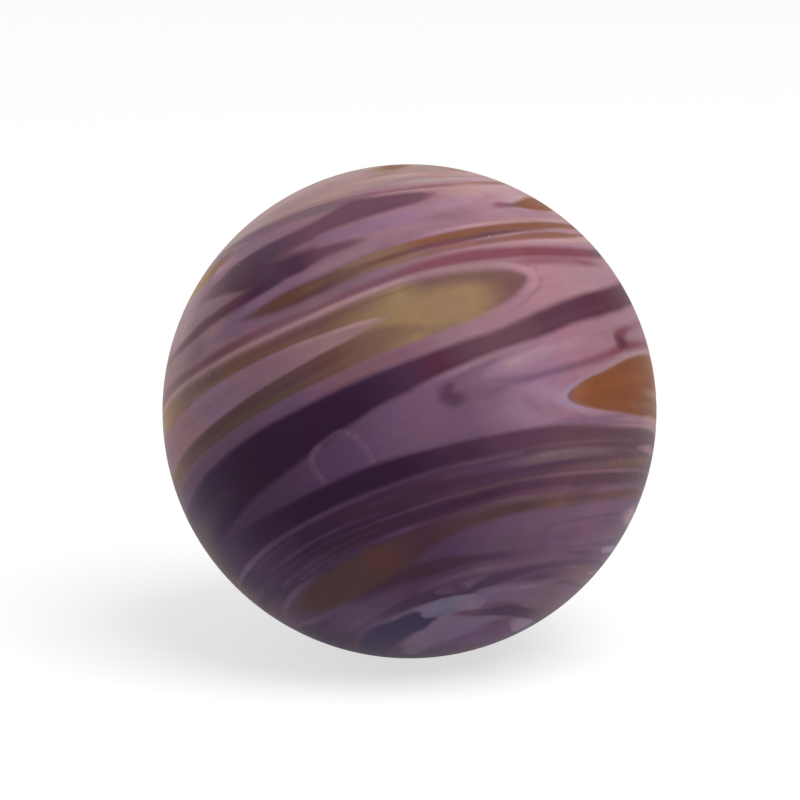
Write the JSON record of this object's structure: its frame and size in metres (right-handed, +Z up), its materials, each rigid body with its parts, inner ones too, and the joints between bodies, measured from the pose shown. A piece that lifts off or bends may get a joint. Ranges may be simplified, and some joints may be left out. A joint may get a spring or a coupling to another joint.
{
  "type": "glass marble",
  "caption": "Round solid ball of opaque glass with a frosted skin, swirled in mauve, plum, olive and amber. Rolls freely in play.",
  "frame": {"origin": "centre of the ball", "axes": "+Z is up as the marble lies. The side that the picture shows faces the camera, along -Y"},
  "size_m": [0.016, 0.016, 0.016],
  "materials": {
    "swirled_glass": "frosted satin, opaque, swirled in mauve, plum, olive and amber"
  },
  "bodies": {
    "root": {"marble": "swirled_glass"}
  },
  "joints": []
}
